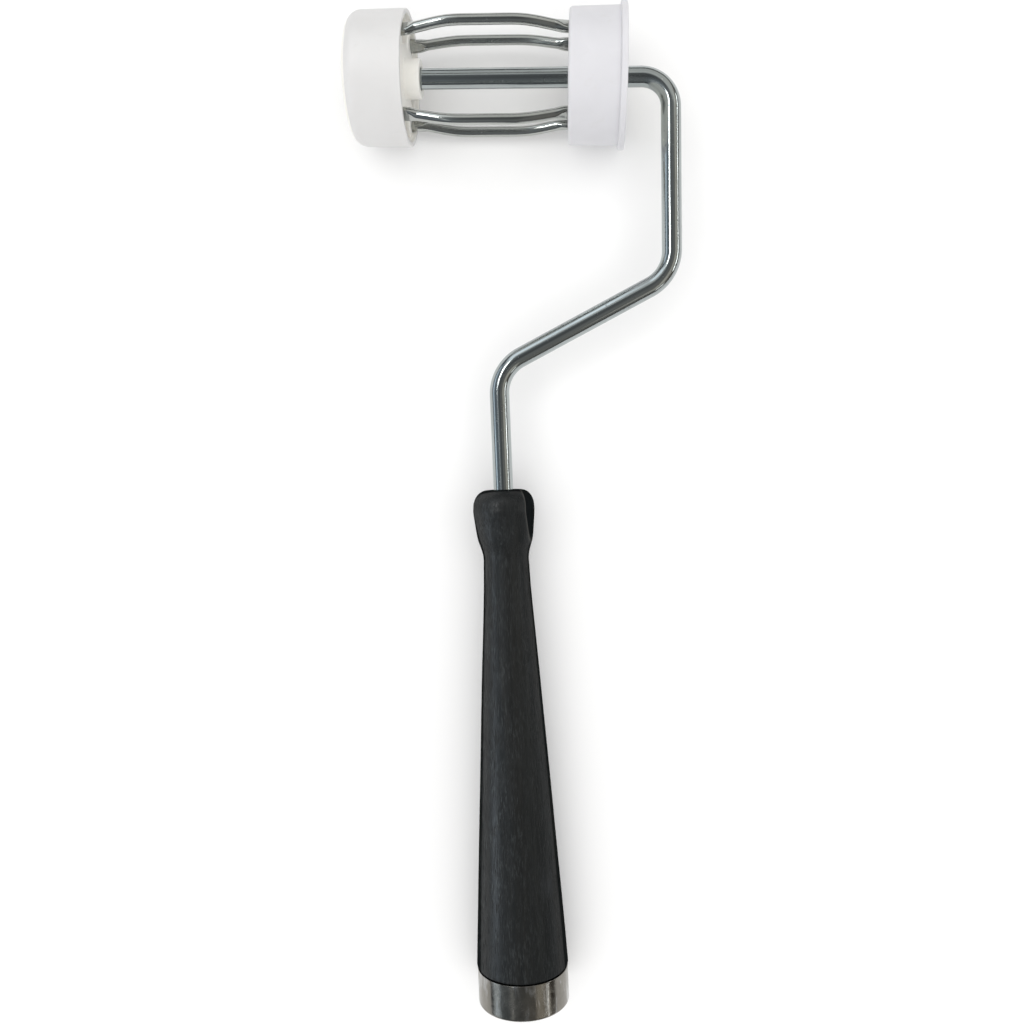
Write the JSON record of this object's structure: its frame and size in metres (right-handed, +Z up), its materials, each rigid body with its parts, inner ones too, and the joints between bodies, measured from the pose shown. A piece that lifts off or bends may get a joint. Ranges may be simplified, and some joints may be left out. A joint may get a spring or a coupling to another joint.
{
  "type": "paint roller frame",
  "caption": "Wire-cage paint roller frame: two white end caps and bowed wires spin on a bent plated rod with a black wooden handle and steel ferrule.",
  "frame": {"origin": "centre of the tool's box on the surface it lies on", "axes": "+Z up from the surface, +Y from the handle's ferrule towards the cage, +X from the outboard cap towards the inboard cap, nearly along the axle"},
  "size_m": [0.0986, 0.2998, 0.0406],
  "materials": {
    "plated_rod": "bright zinc plating, drawn steel",
    "black_wood": "black stain under a thin semi-gloss lacquer, open grain",
    "ferrule_steel": "bright nickel plating, lightly scuffed",
    "outboard_plastic": "white moulded nylon, satin, slightly translucent",
    "inboard_plastic": "white moulded nylon, satin, slightly translucent",
    "cage_wire_steel_1": "bright zinc plating",
    "cage_wire_steel_2": "bright zinc plating",
    "cage_wire_steel_3": "bright zinc plating",
    "cage_wire_steel_4": "bright zinc plating",
    "push_nut_steel": "plated spring steel",
    "outboard_washer_steel": "plated steel",
    "inboard_washer_steel": "plated steel"
  },
  "bodies": {
    "frame": {"frame_rod": "plated_rod", "wood_handle": "black_wood", "ferrule": "ferrule_steel", "push_nut": "push_nut_steel", "outboard_washer": "outboard_washer_steel", "inboard_washer": "inboard_washer_steel"},
    "cage": {"outboard_cap": "outboard_plastic", "inboard_cap": "inboard_plastic", "cage_wire_1": "cage_wire_steel_1", "cage_wire_2": "cage_wire_steel_2", "cage_wire_3": "cage_wire_steel_3", "cage_wire_4": "cage_wire_steel_4"}
  },
  "joints": [
    {"name": "cage_spin", "type": "hinge", "parent": "frame", "child": "cage", "pos_m": [-0.0086, 0.12956, 0.01952], "axis": [0.9998, -0.0002, 0.0198], "continuous": true}
  ]
}
